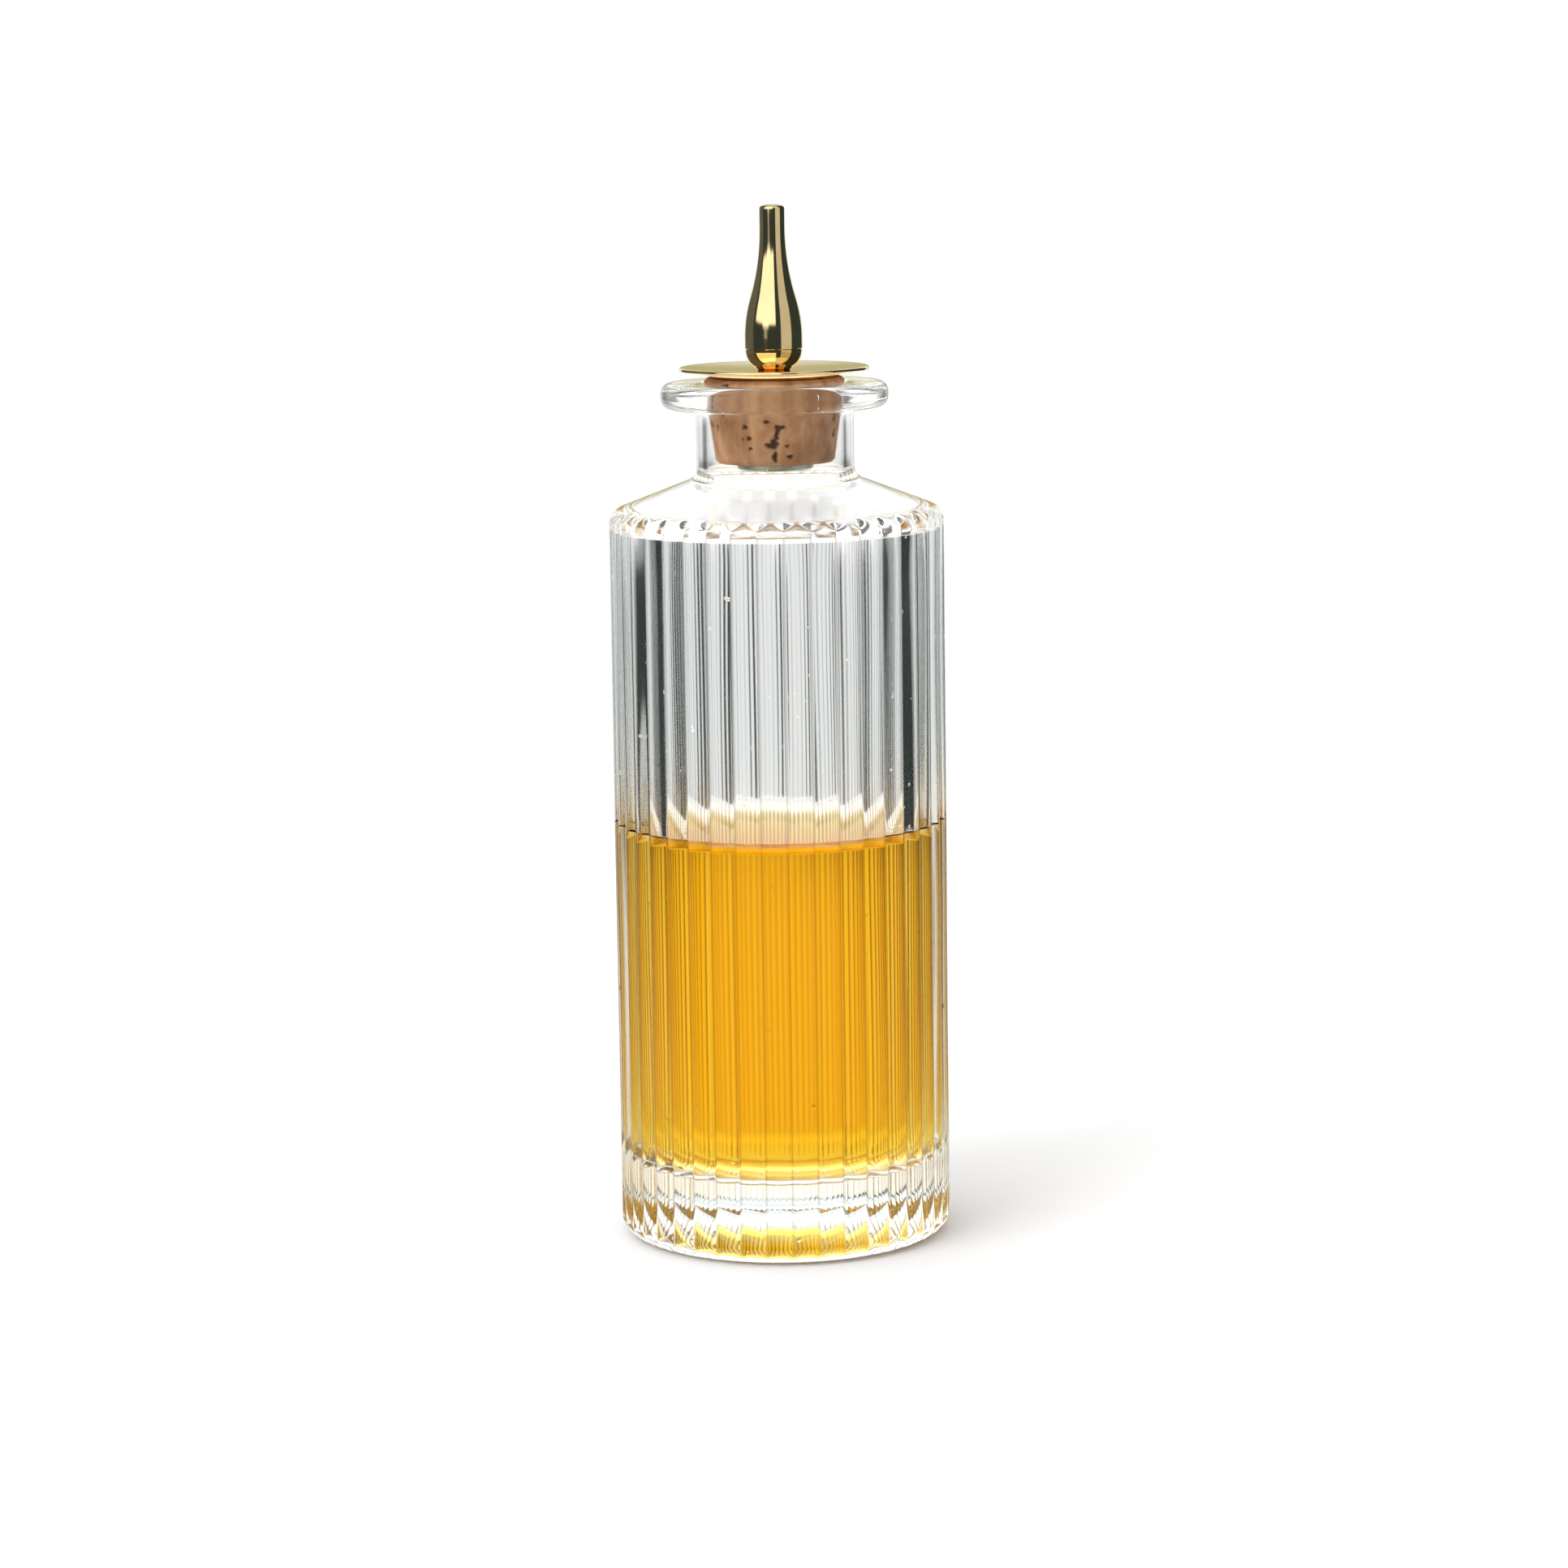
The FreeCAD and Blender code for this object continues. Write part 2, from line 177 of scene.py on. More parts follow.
# Brass and steel
METAL_SEGMENTS = 192
METAL_SHARP_ANGLE = 30
STEM_RADIUS = 1.75
STEM_BORE = 1.0
STEM_CLEARANCE = 0.02
STEM_HOLE = STEM_RADIUS + STEM_CLEARANCE
BOSS_RADIUS = 8.7
BOSS_HEIGHT = 0.8
BOSS_ROUNDING = 0.6
PLATE_UNDERSIDE = BOSS_BOTTOM + BOSS_HEIGHT
PLATE_DISH = RIM_TOP - PLATE_FLOOR
RIM_ROUNDING = 0.27
COLLAR_FOOT = 2.07
SEAM_CHAMFER = 0.1
BULB_STRAIGHT = 1.4
TIP_RADIUS = 1.65
TIP_STRAIGHT = 3.0
TIP_ROUNDING = 0.5
ORIFICE = 0.85
ORIFICE_CHAMFER = 0.2
FLARE_SHARE = 0.37
WASHER_CHAMFER = 0.2


def arc(centre_r, centre_z, radius, start, end, steps):
    """Points of an arc in the section plane, angles in degrees from the outward direction."""
    points = []
    for step in range(steps + 1):
        angle = math.radians(start + (end - start) * step / steps)
        points.append((centre_r + radius * math.cos(angle), centre_z + radius * math.sin(angle)))
    return points


def line(start, end, steps=1):
    """Points of a straight run without its first point."""
    return [
        tuple(a + (b - a) * step / steps for a, b in zip(start, end))
        for step in range(1, steps + 1)
    ]


def even_angles(count):
    return [TAU * step / count for step in range(count)]


def new_object(name, data):
    piece = bpy.data.objects.new(name, data)
    bpy.context.scene.collection.objects.link(piece)
    return piece


def revolve(name, section, angles, shift=None, sharp=None, exact=False):
    """A smooth closed mesh of a section turned about the bottle's axis.

    The section is a list of (radius, level), outside upwards. It runs from axis to axis, or
    closes on itself. shift(angle, index) moves a point along the section's normal. exact gives
    the mesh the normals of the true surface, so that no facet shows in glass.
    """
    count = len(section)
    segments = len(angles)
    on_axis = section[0][0] < 1e-9 and section[-1][0] < 1e-9
    outward = []
    for index in range(count):
        before = section[index - 1] if index or not on_axis else section[0]
        after = section[(index + 1) % count] if index < count - 1 or not on_axis else section[-1]
        run = Vector((after[0] - before[0], after[1] - before[1])).normalized()
        outward.append((run.y, -run.x))

    def point(index, angle):
        radius, level = section[index]
        move = shift(angle, index) if shift else 0
        out = (radius + outward[index][0] * move) * MM
        up = (level + outward[index][1] * move) * MM
        return Vector((out * math.cos(angle), out * math.sin(angle), up))

    vertices = []
    rows = []
    for index in range(count):
        single = on_axis and index in (0, count - 1)
        row_angles = angles[:1] if single else angles
        first = len(vertices)
        vertices += [point(index, angle) for angle in row_angles]
        rows.append([first] * segments if single else list(range(first, len(vertices))))
    faces = []
    for index in range(count - 1 if on_axis else count):
        lower = rows[index]
        upper = rows[(index + 1) % count]
        for step in range(segments):
            following = (step + 1) % segments
            corners = (lower[step], lower[following], upper[following], upper[step])
            faces.append(list(dict.fromkeys(corners)))
    mesh = bpy.data.meshes.new(name)
    mesh.from_pydata(vertices, [], faces)
    mesh.polygons.foreach_set("use_smooth", [True] * len(mesh.polygons))
    if sharp:
        mesh.set_sharp_from_angle(angle=math.radians(sharp))
    if exact:
        normals = [Vector((0, 0, 1))] * len(vertices)
        for index in range(1, count - 1):
            for step, angle in enumerate(angles):
                around = point(index, angle + NUDGE) - point(index, angle - NUDGE)
                along = vertices[rows[index + 1][step]] - vertices[rows[index - 1][step]]
                normals[rows[index][step]] = around.cross(along).normalized()
        normals[0] = Vector((0, 0, -1))
        mesh.normals_split_custom_set_from_vertices(normals)
    mesh.update()
    return new_object(name, mesh)


def finish_piece(piece, material, body, node):
    piece.data.materials.append(material)
    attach(piece, body)
    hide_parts(node)


# Materials


def new_material(name):
    material = bpy.data.materials.new(name)
    material.use_nodes = True
    nodes = material.node_tree.nodes
    return material, nodes, material.node_tree.links, nodes["Principled BSDF"]


def add_node(nodes, kind, **values):
    node = nodes.new(kind)
    for name, value in values.items():
        if name in node.inputs:
            node.inputs[name].default_value = value
        else:
            setattr(node, name, value)
    return node


def absorb(nodes, links, colour, density):
    volume = add_node(nodes, "ShaderNodeVolumeAbsorption", Color=(*colour, 1), Density=density)
    links.new(volume.outputs["Volume"], nodes["Material Output"].inputs["Volume"])


def ramp(nodes, links, source, stops):
    """A colour ramp fed by a socket, with stops of (place, colour)."""
    node = nodes.new("ShaderNodeValToRGB")
    elements = node.color_ramp.elements
    while len(elements) < len(stops):
        elements.new(0.5)
    for element, (place, colour) in zip(elements, stops):
        element.position = place
        element.color = (*colour, 1)
    links.new(source, node.inputs["Fac"])
    return node.outputs["Color"]


def noise(nodes, links, scale, detail=3, stretch=(1, 1, 1)):
    """Noise over the piece, with its grain stretched along the axes."""
    where = nodes.new("ShaderNodeTexCoord")
    mapping = add_node(nodes, "ShaderNodeMapping", Scale=stretch)
    links.new(where.outputs["Object"], mapping.inputs["Vector"])
    node = add_node(nodes, "ShaderNodeTexNoise", Scale=scale, Detail=detail)
    links.new(mapping.outputs["Vector"], node.inputs["Vector"])
    return node.outputs["Fac"]


def glass_material():
    material, nodes, links, shader = new_material("clear_glass")
    shader.inputs["Transmission Weight"].default_value = 1
    shader.inputs["IOR"].default_value = 1.5
    shader.inputs["Roughness"].default_value = 0.075
    shader.inputs["Specular Tint"].default_value = (0.18, 0.18, 0.18, 1)
    # Painted shade: the glass's colour darkens towards brown along the groove between each pair of
    # ribs, read from the groove attribute
    painted_groove_shade = add_node(nodes, "ShaderNodeAttribute", attribute_name="groove")
    groove_shade_tint = ramp(nodes, links, painted_groove_shade.outputs["Fac"], [(0, (1, 1, 1)), (1, (0.5, 0.43, 0.36))])
    links.new(groove_shade_tint, shader.inputs["Base Color"])
    seeds = noise(nodes, links, 900, 1, (1, 1, 0.8))
    flecks = ramp(nodes, links, seeds, [(0.77, (0, 0, 0)), (0.85, (1, 1, 1))])
    bump = add_node(nodes, "ShaderNodeBump", Distance=0.0002, Strength=0.4)
    links.new(flecks, bump.inputs["Height"])
    links.new(bump.outputs["Normal"], shader.inputs["Normal"])
    absorb(nodes, links, (0.6, 0.9, 0.82), 4)
    return material


def liquid_material():
    material, nodes, links, shader = new_material("amber_liquid")
    shader.inputs["Transmission Weight"].default_value = 1
    shader.inputs["IOR"].default_value = 1.345
    shader.inputs["Roughness"].default_value = 0
    shader.inputs["Specular Tint"].default_value = (0.1, 0.1, 0.1, 1)
    absorb(nodes, links, (0.994, 0.85, 0.023), 130)
    return material


def cork_material():
    material, nodes, links, shader = new_material("natural_cork")
    shader.inputs["Roughness"].default_value = 0.85
    grain = noise(nodes, links, 700, 8, (1, 1, 0.6))
    stops = [(0.3, (0.54, 0.25, 0.1)), (0.5, (0.68, 0.355, 0.17)), (0.72, (0.76, 0.455, 0.25))]
    colour = ramp(nodes, links, grain, stops)
    streaks = noise(nodes, links, 260, 4, (1, 1, 0.15))
    shade = ramp(nodes, links, streaks, [(0.36, (0.6, 0.55, 0.5)), (0.56, (1, 1, 1))])
    shaded = add_node(nodes, "ShaderNodeMix", data_type="RGBA", blend_type="MULTIPLY")
    shaded.inputs["Factor"].default_value = 1
    links.new(colour, shaded.inputs["A"])
    links.new(shade, shaded.inputs["B"])
    pits = add_node(nodes, "ShaderNodeAttribute", attribute_name="pit")
    mix = add_node(nodes, "ShaderNodeMix", data_type="RGBA")
    links.new(pits.outputs["Fac"], mix.inputs["Factor"])
    links.new(shaded.outputs["Result"], mix.inputs["A"])
    mix.inputs["B"].default_value = (0.1, 0.05, 0.025, 1)
    links.new(mix.outputs["Result"], shader.inputs["Base Color"])
    return material


def metal_material(name, dull, bright, smoothest, roughest):
    material, nodes, links, shader = new_material(name)
    shader.inputs["Metallic"].default_value = 1
    wear = noise(nodes, links, 400, 4)
    colour = ramp(nodes, links, wear, [(0.35, dull), (0.65, bright)])
    links.new(colour, shader.inputs["Base Color"])
    rough = nodes.new("ShaderNodeMapRange")
    rough.inputs["To Min"].default_value = smoothest
    rough.inputs["To Max"].default_value = roughest
    links.new(wear, rough.inputs["Value"])
    links.new(rough.outputs["Result"], shader.inputs["Roughness"])
    return material


# Glass bottle


def fade(value, start, end):
    """Smooth rise from 0 at start to 1 at end."""
    share = min(max((value - start) / (end - start), 0), 1)
    return share * share * (3 - 2 * share)


@functools.cache
def groove(angle):
    """Depth of the outside below the rib crests at an angle round the bottle."""
    across = (angle - RIB_PHASE) % RIB_PITCH
    reach = []
    for offset in (across, RIB_PITCH - across):
        side = RIB_CENTRE * math.sin(offset)
        rise = math.sqrt(max(RIB_RADIUS**2 - side**2, 0))
        reach.append(RIB_CENTRE * math.cos(offset) + rise)
    high, low = max(reach), min(reach)
    blend = max(GROOVE_ROUNDING - (high - low), 0) / GROOVE_ROUNDING
    return BODY_RADIUS - (high + blend**2 * GROOVE_ROUNDING / 4)


def wave(angle, level):
    """Slight waviness of the wall, from a few slow sines that close round the bottle."""
    total = 0
    for share, count, twist, phase in WAVES:
        total += share * math.sin(count * angle + level / twist + phase)
    return WAVE_HEIGHT * total


def inner_wave(angle, level):
    """Waviness of the inside, which dies out at the floor."""
    floor_end = FLOOR_LEVEL + FLOOR_ROUNDING
    above_floor = fade(level, floor_end, floor_end + FLOOR_ROUNDING)
    return above_floor * wave(angle + INNER_WAVE_TURN, level + INNER_WAVE_LIFT)


def glass_bottle():
    slope = SHOULDER_RISE / (BODY_RADIUS - NECK_RADIUS)
    sloping = math.sqrt(1 + slope**2)
    corner = sloping - slope
    tilt = math.degrees(math.atan(slope))
    neck_foot = SHOULDER_LEVEL + SHOULDER_RISE
    inner_shoulder = SHOULDER_LEVEL + SIDE_WALL * slope - SHOULDER_WALL
    inner_neck = SHOULDER_LEVEL + (BODY_RADIUS - NECK_BORE) * slope - SHOULDER_WALL
    punt_curve = (FOOT_RING_INNER**2 + PUNT_DEPTH**2) / (2 * PUNT_DEPTH)
    punt_angle = math.degrees(math.asin(FOOT_RING_INNER / punt_curve))

    section = arc(0, PUNT_DEPTH - punt_curve, punt_curve, 90, 90 - punt_angle, 10)
    section[0] = (0, PUNT_DEPTH)
    section += line(section[-1], (BODY_RADIUS - HEEL, FOOT), 2)
    heel_first = len(section)
    section += arc(BODY_RADIUS - HEEL, HEEL, HEEL, -90, 0, 12)[1:]
    wall_first = len(section)
    edge_level = SHOULDER_LEVEL - EDGE_ROUNDING * corner
    section += line((BODY_RADIUS, HEEL), (BODY_RADIUS, edge_level), 32)
    wall_last = len(section)
    section += arc(BODY_RADIUS - EDGE_ROUNDING, edge_level, EDGE_ROUNDING, 0, 90 - tilt, 14)[1:]
    edge_last = len(section)
    fillet_z = neck_foot + NECK_FILLET * corner
    fillet = arc(NECK_RADIUS + NECK_FILLET, fillet_z, NECK_FILLET, 270 - tilt, 180, 8)
    section += line(section[-1], fillet[0], 6) + fillet[1:]
    lip_fillet_z = LIP_BOTTOM - LIP_FILLET
    section += line(section[-1], (NECK_RADIUS, lip_fillet_z), 5)
    section += arc(NECK_RADIUS + LIP_FILLET, lip_fillet_z, LIP_FILLET, 180, 90, 5)[1:]
    lip_core = LIP_RADIUS - LIP_ROUNDING
    section += line(section[-1], (lip_core, LIP_BOTTOM), 3)
    section += arc(lip_core, LIP_BOTTOM + LIP_ROUNDING, LIP_ROUNDING, -90, 0, 8)[1:]
    section += arc(lip_core, LIP_TOP - LIP_ROUNDING, LIP_ROUNDING, 0, 90, 8)
    seat_slope = CORK_TAPER / (CORK_TOP - CORK_BOTTOM)
    mouth_core = SEAT_RADIUS - seat_slope * MOUTH_ROUNDING + MOUTH_ROUNDING
    section += line(section[-1], (mouth_core, LIP_TOP), 4)
    section += arc(mouth_core, LIP_TOP - MOUTH_ROUNDING, MOUTH_ROUNDING, 90, 180, 5)[1:]
    section += line(section[-1], (NECK_BORE, LIP_TOP - SEAT_DEPTH), 3)
    throat_z = inner_neck + THROAT_ROUNDING * corner
    section += line(section[-1], (NECK_BORE, throat_z), 6)
    throat_r = NECK_BORE + THROAT_ROUNDING
    section += arc(throat_r, throat_z, THROAT_ROUNDING, 180, 270 - tilt, 6)[1:]
    inner_edge_z = inner_shoulder - INNER_EDGE_ROUNDING * corner
    inner_edge_r = INNER_RADIUS - INNER_EDGE_ROUNDING
    inner_edge = arc(inner_edge_r, inner_edge_z, INNER_EDGE_ROUNDING, 90 - tilt, 0, 10)
    section += line(section[-1], inner_edge[0], 6) + inner_edge[1:]
    inner_first = len(section)
    floor_z = FLOOR_LEVEL + FLOOR_ROUNDING
    section += line(section[-1], (INNER_RADIUS, floor_z), 32)
    inner_last = len(section)
    section += arc(INNER_RADIUS - FLOOR_ROUNDING, floor_z, FLOOR_ROUNDING, 0, -90, 10)[1:]
    section += line(section[-1], (0, FLOOR_LEVEL), 6)

    def shift(angle, index):
        level = section[index][1]
        if heel_first <= index < edge_last:
            rising = fade(index, heel_first, wall_first)
            ending = fade(index, wall_last + RIB_EDGE_POINTS, edge_last)
            return rising * (1 - ending) * (wave(angle, level) * OUTER_WAVE_SHARE - groove(angle))
        if inner_first <= index < inner_last:
            ending = fade(level, inner_edge_z - FLOOR_ROUNDING, inner_edge_z)
            return (1 - ending) * inner_wave(angle, level)
        return 0

    steps = [rib + share for rib in range(RIB_COUNT) for share in RIB_STEP_SHARES]
    angles = [RIB_PHASE + RIB_PITCH * step for step in steps]
    piece = revolve("ribbed_glass_bottle", section, angles, shift, exact=True)
    # Painted shade: the glass's colour is darkened along the bottom of each groove between the
    # ribs, on the side wall only
    asides = [abs(share - GROOVE_SHARE) for share in RIB_STEP_SHARES]
    row = [1 - fade(aside, 0, GROOVE_SHADE_SHARE) for aside in asides] * RIB_COUNT
    shades = [0]
    for index in range(1, len(section) - 1):
        shades += row if wall_first <= index < wall_last else [0] * len(row)
    shades.append(0)
    piece.data.attributes.new("groove", "FLOAT", "POINT").data.foreach_set("value", shades)
    finish_piece(piece, glass_material(), "bottle", "glass_bottle")


# Liquid


def bitters_liquid():
    radius = INNER_RADIUS + LIQUID_OVERLAP
    bottom = FLOOR_LEVEL - LIQUID_OVERLAP
    rounding = FLOOR_ROUNDING + LIQUID_OVERLAP
    core = INNER_RADIUS - FLOOR_ROUNDING
    section = [(0, bottom)] + line((0, bottom), (core, bottom), 6)
    section += arc(core, bottom + rounding, rounding, -90, 0, 10)[1:]
    wall_first = len(section)
    section += line(section[-1], (radius, LIQUID_LEVEL + MENISCUS_HEIGHT), 24)
    wall_last = len(section)
    for step in range(1, MENISCUS_STEPS + 1):
        share = 1 - step / MENISCUS_STEPS
        rise = MENISCUS_HEIGHT * share**MENISCUS_POWER
        section.append((radius - MENISCUS_WIDTH * (1 - share), LIQUID_LEVEL + rise))
    section += line(section[-1], (0, LIQUID_LEVEL), 6)

    def shift(angle, index):
        return -inner_wave(angle, section[index][1]) if wall_first <= index < wall_last else 0

    columns = even_angles(LIQUID_SEGMENTS)
    piece = revolve("amber_bitters", section, columns, shift, LIQUID_SHARP_ANGLE)
    finish_piece(piece, liquid_material(), "bottle", "bitters_liquid")


# Cork


def cork_pits():
    """The front pits, and small ones strewn over the rest of the cork."""
    strewn = random.Random(STREWN_SEED)
    pits = list(FRONT_PITS)
    for _ in range(STREWN_COUNT):
        around = strewn.uniform(*STREWN_ANGLES)
        level = strewn.uniform(CORK_BOTTOM + STREWN_MARGIN, CORK_TOP - STREWN_MARGIN)
        width = strewn.uniform(*STREWN_WIDTHS)
        height = width * strewn.uniform(*STREWN_HEIGHT_SHARES)
        pits.append((around, level, width, height, width))
    return pits


def cork_stopper():
    def side(level):
        return CORK_RADIUS - CORK_TAPER * (CORK_TOP - level) / (CORK_TOP - CORK_BOTTOM)

    low, high = CORK_BOTTOM + CORK_CHAMFER, CORK_TOP - CORK_CHAMFER
    section = [(CORK_HOLE, CORK_BOTTOM)]
    section += line(section[0], (side(low) - CORK_CHAMFER, CORK_BOTTOM), 6)
    section += line(section[-1], (side(low), low), 3)
    wall_first = len(section) - 1
    section += line(section[-1], (side(high), high), 72)
    wall_last = len(section)
    section += line(section[-1], (side(high) - CORK_CHAMFER, CORK_TOP), 3)
    section += line(section[-1], (CORK_HOLE, CORK_TOP), 6)
    pits = [(math.radians(around) - TAU / 4, *rest) for around, *rest in cork_pits()]
    columns = even_angles(CORK_SEGMENTS)

    @functools.cache
    def pitted(angle, index):
        """Depth and darkness of the pits at a point of the section."""
        if not wall_first <= index < wall_last:
            return 0, 0
        radius, level = section[index]
        deepest, darkest = 0, 0
        for around, height, half_width, half_height, deep in pits:
            aside = (angle - around + math.pi) % TAU - math.pi
            turn = math.atan2(level - height, aside * radius)
            ragged = 1
            for share, lobes, twist in PIT_LOBES:
                ragged += share * math.sin(lobes * turn + twist * height)
            far = math.hypot(aside * radius / half_width, (level - height) / half_height) / ragged
            deepest = max(deepest, deep * (1 - fade(far, *PIT_SLOPE_SHARES)))
            darkest = max(darkest, 1 - fade(far, *PIT_SHADE_SHARES))
        return deepest, darkest

    def shift(angle, index):
        return -pitted(angle, index)[0]

    piece = revolve("natural_cork", section, columns, shift, CORK_SHARP_ANGLE)
    shades = [pitted(angle, index)[1] for index in range(len(section)) for angle in columns]
    piece.data.attributes.new("pit", "FLOAT", "POINT").data.foreach_set("value", shades)
    finish_piece(piece, cork_material(), "cork", "cork_stopper")


# Brass and steel


def plate_section():
    rim = PLATE_RADIUS - RIM_ROUNDING
    dish = (rim**2 + PLATE_DISH**2) / (2 * PLATE_DISH)
    dish_start = math.degrees(math.asin(rim / dish)) - 90
    dish_end = math.degrees(math.asin(STEM_HOLE / dish)) - 90
    boss_core = BOSS_RADIUS - BOSS_ROUNDING
    section = [(STEM_HOLE, BOSS_BOTTOM)]
    section += line(section[0], (boss_core, BOSS_BOTTOM), 4)
    section += arc(boss_core, BOSS_BOTTOM + BOSS_ROUNDING, BOSS_ROUNDING, -90, 0, 6)[1:]
    section += line(section[-1], (BOSS_RADIUS, PLATE_UNDERSIDE))
    section += line(section[-1], (rim, PLATE_UNDERSIDE), 3)
    section += arc(rim, PLATE_UNDERSIDE + RIM_ROUNDING, RIM_ROUNDING, -90, 0, 4)[1:]
    section += arc(rim, RIM_TOP - RIM_ROUNDING, RIM_ROUNDING, 0, 90, 4)
    section += arc(0, PLATE_FLOOR + dish, dish, dish_start, dish_end, 24)[1:]
    return section


def cup_section():
    cup_top = SEAM - SEAM_CHAMFER
    rise = cup_top - PLATE_FLOOR
    reach = COLLAR_RADIUS - COLLAR_FOOT
    curve = (rise**2 + reach**2) / (2 * reach)
    bend = math.degrees(math.asin(rise / curve))
    section = [(STEM_HOLE, PLATE_FLOOR)]
    section += arc(COLLAR_RADIUS - curve, cup_top, curve, -bend, 0, 14)
    section += [(COLLAR_RADIUS - SEAM_CHAMFER, SEAM), (STEM_HOLE, SEAM)]
    return section


def spout_section():
    bulb_top = SEAM + BULB_STRAIGHT
    tip_foot = TIP_TOP - TIP_STRAIGHT
    rise = tip_foot - bulb_top
    reach = BULB_RADIUS - TIP_RADIUS
    curves = (rise**2 + reach**2) / (2 * reach)
    bend = math.degrees(math.asin(rise / curves))
    belly = curves * FLARE_SHARE
    waist = curves - belly
    section = [(STEM_HOLE, SEAM), (BULB_RADIUS - SEAM_CHAMFER, SEAM)]
    section += [(BULB_RADIUS, SEAM + SEAM_CHAMFER)]
    section += arc(BULB_RADIUS - belly, bulb_top, belly, 0, bend, 16)
    section += arc(TIP_RADIUS + waist, tip_foot, waist, 180 + bend, 180, 16)[1:]
    tip_core = TIP_RADIUS - TIP_ROUNDING
    section += arc(tip_core, TIP_TOP - TIP_ROUNDING, TIP_ROUNDING, 0, 90, 6)
    section += [(ORIFICE + ORIFICE_CHAMFER, TIP_TOP), (ORIFICE, TIP_TOP - ORIFICE_CHAMFER)]
    section += [(ORIFICE, STEM_TOP), (STEM_HOLE, STEM_TOP)]
    return section


def washer_section():
    face_radius = WASHER_RADIUS - WASHER_CHAMFER
    section = [(STEM_HOLE, WASHER_BOTTOM)]
    section += line(section[0], (face_radius, WASHER_BOTTOM), 3)
    section += [(WASHER_RADIUS, WASHER_BOTTOM + WASHER_CHAMFER)]
    section += [(WASHER_RADIUS, WASHER_TOP - WASHER_CHAMFER)]
    section += [(face_radius, WASHER_TOP), (STEM_HOLE, WASHER_TOP)]
    return section


def stem_section():
    lower_end = [(STEM_BORE, STEM_BOTTOM), (STEM_RADIUS, STEM_BOTTOM)]
    upper_end = [(STEM_RADIUS, STEM_TOP), (STEM_BORE, STEM_TOP)]
    return lower_end + upper_end


def dasher_top():
    brass = metal_material("polished_brass", (0.88, 0.66, 0.33), (0.94, 0.72, 0.38), 0.04, 0.1)
    steel = metal_material("dull_steel", (0.2, 0.23, 0.18), (0.36, 0.38, 0.31), 0.2, 0.35)
    for name, section, material, node, slot in (
        ("dished_plate", plate_section(), brass, "cap_plate", "brass"),
        ("spout_cup", cup_section(), brass, "nozzle_collar", "brass"),
        ("dasher_spout", spout_section(), brass, "dash_nozzle", "brass"),
        ("steel_washer", washer_section(), steel, "retaining_washer", "steel"),
        ("steel_stem", stem_section(), steel, "stem_tube", "steel"),
    ):
        piece = revolve(name, section, even_angles(METAL_SEGMENTS), None, METAL_SHARP_ANGLE)
        finish_piece(piece, material, "dasher_top", node)


# Studio

WHITE = (1, 1, 1)
DARK_PANEL = (0.021, 0.03, 0.027)

# Panels mirrored in gloss: (brightness, azimuth band, elevation band), with bands in degrees as
# (start, end, softness). In turn: softbox, narrow strip under it, the strip's foot, panel at the
# right, overhead panel.
GLOSS_PANELS = (
    (1.4, (-76, 11, 2), (9, 62, 2)),
    (1.4, (-42, -18, 4), (6.5, 10, 3)),
    (0.36, (-36, -24, 5), (-2.4, 6, 0.4)),
    (0.6, (32, 78, 2), (-12, 45, 2)),
    (1, (-76, 78, 8), (43, 75, 4)),
)


class Sky:
    """Nodes of the world, whose light depends on the direction, in degrees.

    The azimuth is 0 towards the camera's side, and behind is 0 straight behind the bottle.
    """

    def __init__(self, tree):
        self.nodes = tree.nodes
        self.links = tree.links
        where = self.nodes.new("ShaderNodeTexCoord")
        split = self.nodes.new("ShaderNodeSeparateXYZ")
        self.links.new(where.outputs["Generated"], split.inputs["Vector"])
        self.sideways, away, upward = split.outputs
        towards = self.both(away, -1)
        self.azimuth = self.degrees(self.compute("ARCTAN2", self.sideways, towards))
        self.behind = self.degrees(self.compute("ARCTAN2", self.sideways, away))
        self.elevation = self.degrees(self.compute("ARCSINE", upward))

    def compute(self, operation, *values):
        """A Math node fed by sockets or numbers."""
        node = add_node(self.nodes, "ShaderNodeMath", operation=operation)
        for socket, value in zip(node.inputs, values):
            if isinstance(value, (int, float)):
                socket.default_value = value
            else:
                self.links.new(value, socket)
        return node.outputs[0]

    def degrees(self, angle):
        return self.compute("DEGREES", angle)

    def both(self, first, second):
        return self.compute("MULTIPLY", first, second)

    def plus(self, first, second):
        return self.compute("ADD", first, second)

    def rise(self, value, start, end):
        """Smooth rise from 0 to 1 between two values of a socket."""
        node = add_node(self.nodes, "ShaderNodeMapRange", interpolation_type="SMOOTHSTEP")
        node.inputs["From Min"].default_value = start
        node.inputs["From Max"].default_value = end
        self.links.new(value, node.inputs["Value"])
        return node.outputs["Result"]

    def band(self, value, start, end, soft):
        """1 between start and end of a socket, with soft edges."""
        rising = self.rise(value, start - soft, start + soft)
        falling = self.rise(value, end + soft, end - soft)
        return self.both(rising, falling)

    def blend(self, factor, first, second):
        """Mix of two colours or sockets, which may go past the second."""
        mix = add_node(self.nodes, "ShaderNodeMix", data_type="RGBA", clamp_factor=False)
        self.links.new(factor, mix.inputs["Factor"])
        for socket, value in ((mix.inputs["A"], first), (mix.inputs["B"], second)):
            if isinstance(value, tuple):
                socket.default_value = (*value, 1)
            else:
                self.links.new(value, socket)
        return mix.outputs["Result"]


